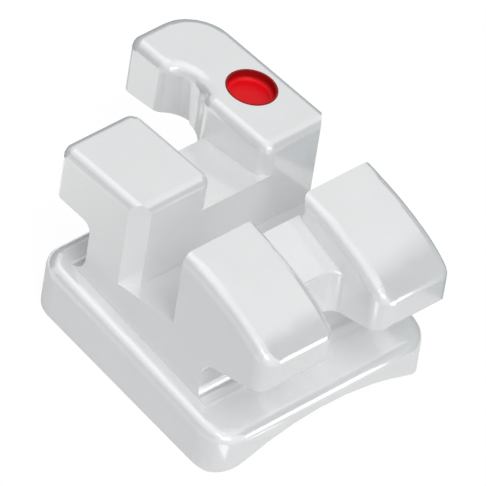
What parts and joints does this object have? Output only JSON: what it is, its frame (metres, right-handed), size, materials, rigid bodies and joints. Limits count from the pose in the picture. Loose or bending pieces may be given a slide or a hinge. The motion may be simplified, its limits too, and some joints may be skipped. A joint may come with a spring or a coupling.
{
  "type": "orthodontic bracket",
  "caption": "Small white ceramic orthodontic bracket: twin tie wings, archwire slot, gingival hook, curved bonding base with retention pockets and a red orientation dot.",
  "frame": {"origin": "on the plane of the base's two resting edges, straight below the middle of the archwire slot", "axes": "+X along the archwire slot towards the hooked wing, +Y towards the gum, +Z away from the tooth"},
  "size_m": [0.0028, 0.0037, 0.0017],
  "materials": {
    "ceramic": "gloss",
    "dot_paint": "gloss"
  },
  "bodies": {
    "root": {"bracket_body": "ceramic", "identification_dot": "dot_paint"}
  },
  "joints": []
}
